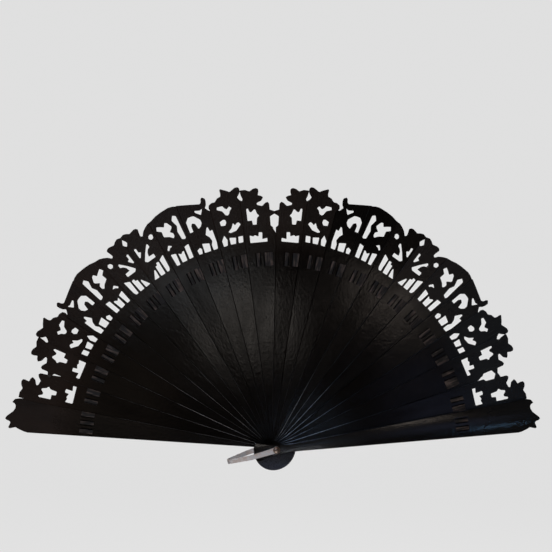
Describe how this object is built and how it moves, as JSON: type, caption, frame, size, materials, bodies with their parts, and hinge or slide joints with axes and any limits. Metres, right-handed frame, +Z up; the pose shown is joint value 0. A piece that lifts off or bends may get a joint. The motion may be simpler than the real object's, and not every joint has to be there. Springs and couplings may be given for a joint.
{
  "type": "folding hand fan",
  "caption": "Open black hand fan: tapered wooden sticks with cut-out leafy tops, held by a rivet with a metal hanging loop and a ribbon woven through slits.",
  "frame": {"origin": "on the rivet's axis, halfway through the stack of sticks, where the hand holds the fan", "axes": "+Z up through the middle of the open fan, +X towards the front guard, -Y out of the front guard's face"},
  "size_m": [0.4358, 0.0306, 0.2309],
  "materials": {
    "stick_lacquer": "satin",
    "guard_lacquer": "gloss",
    "ribbon_satin": "satin",
    "loop_metal": "worn",
    "rivet_metal": "worn"
  },
  "bodies": {
    "rear_guard_body": {"rear_guard": "guard_lacquer", "ribbon_01": "ribbon_satin", "pivot_pin": "rivet_metal", "front_washer": "rivet_metal", "rear_washer": "rivet_metal"},
    "front_guard_body": {"front_guard": "guard_lacquer", "ribbon_24": "ribbon_satin"},
    "stick_01_body": {"stick_01": "stick_lacquer", "ribbon_02": "ribbon_satin"},
    "stick_02_body": {"stick_02": "stick_lacquer", "ribbon_03": "ribbon_satin"},
    "stick_03_body": {"stick_03": "stick_lacquer", "ribbon_04": "ribbon_satin"},
    "stick_04_body": {"stick_04": "stick_lacquer", "ribbon_05": "ribbon_satin"},
    "stick_05_body": {"stick_05": "stick_lacquer", "ribbon_06": "ribbon_satin"},
    "stick_06_body": {"stick_06": "stick_lacquer", "ribbon_07": "ribbon_satin"},
    "stick_07_body": {"stick_07": "stick_lacquer", "ribbon_08": "ribbon_satin"},
    "stick_08_body": {"stick_08": "stick_lacquer", "ribbon_09": "ribbon_satin"},
    "stick_09_body": {"stick_09": "stick_lacquer", "ribbon_10": "ribbon_satin"},
    "stick_10_body": {"stick_10": "stick_lacquer", "ribbon_11": "ribbon_satin"},
    "stick_11_body": {"stick_11": "stick_lacquer", "ribbon_12": "ribbon_satin"},
    "stick_12_body": {"stick_12": "stick_lacquer", "ribbon_13": "ribbon_satin"},
    "stick_13_body": {"stick_13": "stick_lacquer", "ribbon_14": "ribbon_satin"},
    "stick_14_body": {"stick_14": "stick_lacquer", "ribbon_15": "ribbon_satin"},
    "stick_15_body": {"stick_15": "stick_lacquer", "ribbon_16": "ribbon_satin"},
    "stick_16_body": {"stick_16": "stick_lacquer", "ribbon_17": "ribbon_satin"},
    "stick_17_body": {"stick_17": "stick_lacquer", "ribbon_18": "ribbon_satin"},
    "stick_18_body": {"stick_18": "stick_lacquer", "ribbon_19": "ribbon_satin"},
    "stick_19_body": {"stick_19": "stick_lacquer", "ribbon_20": "ribbon_satin"},
    "stick_20_body": {"stick_20": "stick_lacquer", "ribbon_21": "ribbon_satin"},
    "stick_21_body": {"stick_21": "stick_lacquer", "ribbon_22": "ribbon_satin"},
    "stick_22_body": {"stick_22": "stick_lacquer", "ribbon_23": "ribbon_satin"},
    "hanging_loop_body": {"hanging_loop": "loop_metal"}
  },
  "joints": [
    {"name": "fold", "type": "hinge", "parent": "rear_guard_body", "child": "front_guard_body", "pos_m": [0, 0, 0], "axis": [0, -1, 0], "range_deg": [0, 165.44]},
    {"name": "stick_01_fold", "type": "hinge", "parent": "rear_guard_body", "child": "stick_01_body", "pos_m": [0, 0, 0], "axis": [0, -1, 0], "range_deg": [0, 7.96]},
    {"name": "stick_02_fold", "type": "hinge", "parent": "rear_guard_body", "child": "stick_02_body", "pos_m": [0, 0, 0], "axis": [0, -1, 0], "range_deg": [0, 15.02]},
    {"name": "stick_03_fold", "type": "hinge", "parent": "rear_guard_body", "child": "stick_03_body", "pos_m": [0, 0, 0], "axis": [0, -1, 0], "range_deg": [0, 22.07]},
    {"name": "stick_04_fold", "type": "hinge", "parent": "rear_guard_body", "child": "stick_04_body", "pos_m": [0, 0, 0], "axis": [0, -1, 0], "range_deg": [0, 29.13]},
    {"name": "stick_05_fold", "type": "hinge", "parent": "rear_guard_body", "child": "stick_05_body", "pos_m": [0, 0, 0], "axis": [0, -1, 0], "range_deg": [0, 36.19]},
    {"name": "stick_06_fold", "type": "hinge", "parent": "rear_guard_body", "child": "stick_06_body", "pos_m": [0, 0, 0], "axis": [0, -1, 0], "range_deg": [0, 43.24]},
    {"name": "stick_07_fold", "type": "hinge", "parent": "rear_guard_body", "child": "stick_07_body", "pos_m": [0, 0, 0], "axis": [0, -1, 0], "range_deg": [0, 50.3]},
    {"name": "stick_08_fold", "type": "hinge", "parent": "rear_guard_body", "child": "stick_08_body", "pos_m": [0, 0, 0], "axis": [0, -1, 0], "range_deg": [0, 57.35]},
    {"name": "stick_09_fold", "type": "hinge", "parent": "rear_guard_body", "child": "stick_09_body", "pos_m": [0, 0, 0], "axis": [0, -1, 0], "range_deg": [0, 64.41]},
    {"name": "stick_10_fold", "type": "hinge", "parent": "rear_guard_body", "child": "stick_10_body", "pos_m": [0, 0, 0], "axis": [0, -1, 0], "range_deg": [0, 71.46]},
    {"name": "stick_11_fold", "type": "hinge", "parent": "rear_guard_body", "child": "stick_11_body", "pos_m": [0, 0, 0], "axis": [0, -1, 0], "range_deg": [0, 78.52]},
    {"name": "stick_12_fold", "type": "hinge", "parent": "rear_guard_body", "child": "stick_12_body", "pos_m": [0, 0, 0], "axis": [0, -1, 0], "range_deg": [0, 87.01]},
    {"name": "stick_13_fold", "type": "hinge", "parent": "rear_guard_body", "child": "stick_13_body", "pos_m": [0, 0, 0], "axis": [0, -1, 0], "range_deg": [0, 94.06]},
    {"name": "stick_14_fold", "type": "hinge", "parent": "rear_guard_body", "child": "stick_14_body", "pos_m": [0, 0, 0], "axis": [0, -1, 0], "range_deg": [0, 101.12]},
    {"name": "stick_15_fold", "type": "hinge", "parent": "rear_guard_body", "child": "stick_15_body", "pos_m": [0, 0, 0], "axis": [0, -1, 0], "range_deg": [0, 108.17]},
    {"name": "stick_16_fold", "type": "hinge", "parent": "rear_guard_body", "child": "stick_16_body", "pos_m": [0, 0, 0], "axis": [0, -1, 0], "range_deg": [0, 115.23]},
    {"name": "stick_17_fold", "type": "hinge", "parent": "rear_guard_body", "child": "stick_17_body", "pos_m": [0, 0, 0], "axis": [0, -1, 0], "range_deg": [0, 122.28]},
    {"name": "stick_18_fold", "type": "hinge", "parent": "rear_guard_body", "child": "stick_18_body", "pos_m": [0, 0, 0], "axis": [0, -1, 0], "range_deg": [0, 129.34]},
    {"name": "stick_19_fold", "type": "hinge", "parent": "rear_guard_body", "child": "stick_19_body", "pos_m": [0, 0, 0], "axis": [0, -1, 0], "range_deg": [0, 136.4]},
    {"name": "stick_20_fold", "type": "hinge", "parent": "rear_guard_body", "child": "stick_20_body", "pos_m": [0, 0, 0], "axis": [0, -1, 0], "range_deg": [0, 143.45]},
    {"name": "stick_21_fold", "type": "hinge", "parent": "rear_guard_body", "child": "stick_21_body", "pos_m": [0, 0, 0], "axis": [0, -1, 0], "range_deg": [0, 150.5]},
    {"name": "stick_22_fold", "type": "hinge", "parent": "rear_guard_body", "child": "stick_22_body", "pos_m": [0, 0, 0], "axis": [0, -1, 0], "range_deg": [0, 159]},
    {"name": "loop_swing", "type": "hinge", "parent": "rear_guard_body", "child": "hanging_loop_body", "pos_m": [0, 0, 0], "axis": [0, -1, 0], "range_deg": [-6, 153]}
  ],
  "couplings": [
    {"joint": "stick_01_fold", "follows": "fold", "ratio": 0.048082},
    {"joint": "stick_02_fold", "follows": "fold", "ratio": 0.090725},
    {"joint": "stick_03_fold", "follows": "fold", "ratio": 0.13337},
    {"joint": "stick_04_fold", "follows": "fold", "ratio": 0.17601},
    {"joint": "stick_05_fold", "follows": "fold", "ratio": 0.21865},
    {"joint": "stick_06_fold", "follows": "fold", "ratio": 0.26129},
    {"joint": "stick_07_fold", "follows": "fold", "ratio": 0.30394},
    {"joint": "stick_08_fold", "follows": "fold", "ratio": 0.34658},
    {"joint": "stick_09_fold", "follows": "fold", "ratio": 0.38922},
    {"joint": "stick_10_fold", "follows": "fold", "ratio": 0.43187},
    {"joint": "stick_11_fold", "follows": "fold", "ratio": 0.47451},
    {"joint": "stick_12_fold", "follows": "fold", "ratio": 0.52585},
    {"joint": "stick_13_fold", "follows": "fold", "ratio": 0.5685},
    {"joint": "stick_14_fold", "follows": "fold", "ratio": 0.61114},
    {"joint": "stick_15_fold", "follows": "fold", "ratio": 0.65378},
    {"joint": "stick_16_fold", "follows": "fold", "ratio": 0.69642},
    {"joint": "stick_17_fold", "follows": "fold", "ratio": 0.73907},
    {"joint": "stick_18_fold", "follows": "fold", "ratio": 0.78171},
    {"joint": "stick_19_fold", "follows": "fold", "ratio": 0.82435},
    {"joint": "stick_20_fold", "follows": "fold", "ratio": 0.86699},
    {"joint": "stick_21_fold", "follows": "fold", "ratio": 0.90964},
    {"joint": "stick_22_fold", "follows": "fold", "ratio": 0.96098}
  ]
}
